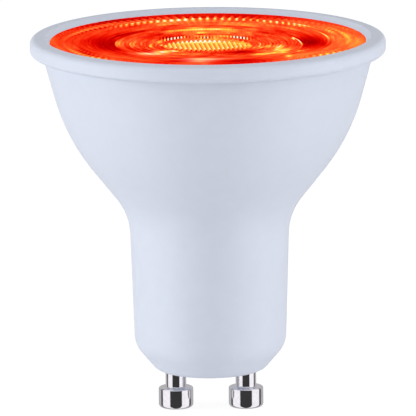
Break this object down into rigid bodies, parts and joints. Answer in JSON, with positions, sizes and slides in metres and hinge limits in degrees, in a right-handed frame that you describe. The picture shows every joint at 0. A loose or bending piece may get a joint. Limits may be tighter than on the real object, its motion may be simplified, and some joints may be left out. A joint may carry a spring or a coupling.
{
  "type": "led spotlight bulb",
  "caption": "Reflector-shaped LED spotlight bulb with a white flared housing, a clear ribbed lens and a two-pin twist-lock base.",
  "frame": {"origin": "midway between the tips of the two contact pins, on the plane that the pins stand on", "axes": "+Z along the lamp's axis towards the lens, X through the two pins"},
  "size_m": [0.0505, 0.0504, 0.0538],
  "materials": {
    "housing_plastic": "satin white moulded plastic",
    "lens_plastic": "clear moulded plastic, lit orange-red",
    "contact_metal": "bright nickel plate",
    "heat_sink_metal": "drawn sheet",
    "led_board_face": "white solder mask",
    "led_resin": "clear resin over a red die",
    "screw_steel": "zinc plate",
    "circuit_board": "green solder mask",
    "capacitor_sleeve": "printed sleeve, left bare",
    "ferrite": "sintered ferrite and varnished wire",
    "film_box": "moulded box",
    "resistor_body": "cement coat",
    "varistor_coat": "epoxy coat",
    "chip_mould": "moulded epoxy",
    "lead_red": "wire insulation",
    "lead_black": "wire insulation",
    "lead_white": "wire insulation"
  },
  "bodies": {
    "root": {"outer_housing": "housing_plastic", "lens": "lens_plastic", "contact_pin_left": "contact_metal", "contact_pin_right": "contact_metal", "heat_sink_cup": "heat_sink_metal", "led_board": "led_board_face", "led_packages": "led_resin", "board_screws": "screw_steel", "driver_board": "circuit_board", "smoothing_capacitor": "capacitor_sleeve", "power_inductor": "ferrite", "film_capacitor": "film_box", "fuse_resistor": "resistor_body", "surge_varistor": "varistor_coat", "bridge_rectifier": "chip_mould", "driver_chip": "chip_mould", "line_lead": "lead_white", "neutral_lead": "lead_white", "led_lead_positive": "lead_red", "led_lead_negative": "lead_black"}
  },
  "joints": []
}
